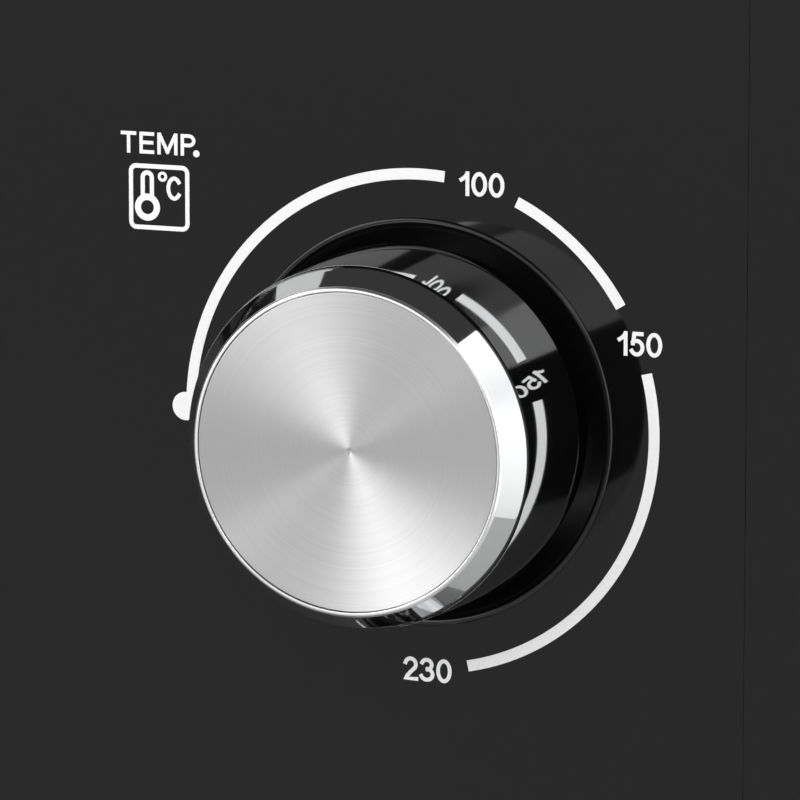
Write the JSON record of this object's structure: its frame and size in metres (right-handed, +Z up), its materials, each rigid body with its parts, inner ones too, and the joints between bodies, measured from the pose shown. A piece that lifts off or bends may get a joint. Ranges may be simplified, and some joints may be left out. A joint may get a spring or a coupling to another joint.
{
  "type": "countertop convection oven",
  "caption": "Countertop convection oven with a drop-down glass door, a gloss control panel with chrome knobs, fan, heaters, rack and trays.",
  "frame": {"origin": "middle of the outer box in plan, on the plane that the feet stand on", "axes": "+Z up, the front with its door and knobs faces -Y, +X to the right seen from the front"},
  "size_m": [0.5, 0.411, 0.326],
  "materials": {
    "black_paint": "satin powder coat",
    "galvanised": "zinc-coated sheet",
    "gloss_black": "high gloss",
    "dark_plastic": "fine moulded",
    "chrome": "mirror chrome",
    "spun_aluminium": "spun, circular brushing",
    "steel": "bright zinc",
    "liner": "aluminised sheet",
    "heater_sheath": "heat-darkened sheath",
    "ceramic": "glazed ceramic",
    "copper": "bare copper",
    "phenolic": "moulded insulator",
    "laminations": "stacked steel",
    "rubber": "matt",
    "glass": "tempered, tinted",
    "red_lens": "clear red",
    "enamel": "dark enamel",
    "stainless": "brushed stainless",
    "silicone": "silicone"
  },
  "bodies": {
    "cabinet": {"cabinet_wrapper": "black_paint", "base_pan": "galvanised", "rear_cover": "black_paint", "rear_spacers": "dark_plastic", "front_frame": "black_paint", "control_panel": "gloss_black", "panel_end_trim": "gloss_black", "dial_bezels": "dark_plastic", "indicator_lens": "red_lens", "oven_cavity": "liner", "rack_guides": "liner", "upper_heaters": "heater_sheath", "lower_heaters": "heater_sheath", "heater_insulators": "ceramic", "heat_shield": "galvanised", "fan_housing": "galvanised", "motor_core": "laminations", "motor_coil": "copper", "motor_bracket": "steel", "thermostat_body": "phenolic", "capillary_tube": "copper", "selector_body": "phenolic", "timer_body": "phenolic", "timer_bell": "steel", "switch_screws": "steel", "door_gasket": "silicone", "hinge_lugs": "steel", "hinge_pins": "steel", "door_springs": "steel", "feet": "rubber", "foot_screws": "steel", "cord_gland": "dark_plastic", "terminal_block": "ceramic", "rear_screws": "steel"},
    "door": {"door_frame": "black_paint", "door_glass": "glass", "door_handle": "stainless", "handle_posts": "stainless", "handle_screws": "steel", "rack_hooks": "steel"},
    "rack": {"wire_rack": "chrome", "baking_tray": "enamel"},
    "crumb_drawer": {"crumb_tray": "enamel"},
    "temperature_knob": {"temperature_knob_shell": "chrome", "temperature_knob_face": "spun_aluminium", "temperature_knob_core": "dark_plastic", "temperature_shaft": "steel"},
    "function_knob": {"function_knob_shell": "chrome", "function_knob_face": "spun_aluminium", "function_knob_core": "dark_plastic", "function_shaft": "steel"},
    "timer_knob": {"timer_knob_shell": "chrome", "timer_knob_face": "spun_aluminium", "timer_knob_core": "dark_plastic", "timer_shaft": "steel"},
    "fan": {"convection_fan": "liner", "fan_shaft": "steel", "cooling_fan": "dark_plastic"}
  },
  "joints": [
    {"name": "door_hinge", "type": "hinge", "parent": "cabinet", "child": "door", "pos_m": [0, -0.1535, 0.058], "axis": [1, 0, 0], "range_deg": [0, 90], "stiffness_Nm_per_rad": 0.5, "springref_deg": -68.75, "deforming": ["door_springs"]},
    {"name": "rack_slide", "type": "slide", "parent": "cabinet", "child": "rack", "axis": [0, -1, 0], "range_m": [0, 0.11]},
    {"name": "crumb_tray_slide", "type": "slide", "parent": "cabinet", "child": "crumb_drawer", "axis": [0, -1, 0], "range_m": [0, 0.2]},
    {"name": "temperature_knob_turn", "type": "hinge", "parent": "cabinet", "child": "temperature_knob", "pos_m": [0.192, -0.1675, 0.2605], "axis": [0, 1, 0], "range_deg": [0, 270]},
    {"name": "function_knob_turn", "type": "hinge", "parent": "cabinet", "child": "function_knob", "pos_m": [0.192, -0.1675, 0.1705], "axis": [0, 1, 0], "range_deg": [0, 180]},
    {"name": "timer_knob_turn", "type": "hinge", "parent": "cabinet", "child": "timer_knob", "pos_m": [0.192, -0.1675, 0.0805], "axis": [0, 1, 0], "range_deg": [0, 270]},
    {"name": "fan_spin", "type": "hinge", "parent": "cabinet", "child": "fan", "pos_m": [0.1128, 0.0271, 0.168], "axis": [1, 0, 0], "continuous": true}
  ],
  "couplings": [
    {"joint": "rack_slide", "follows": "door_hinge", "m_per_rad": 0.07}
  ]
}
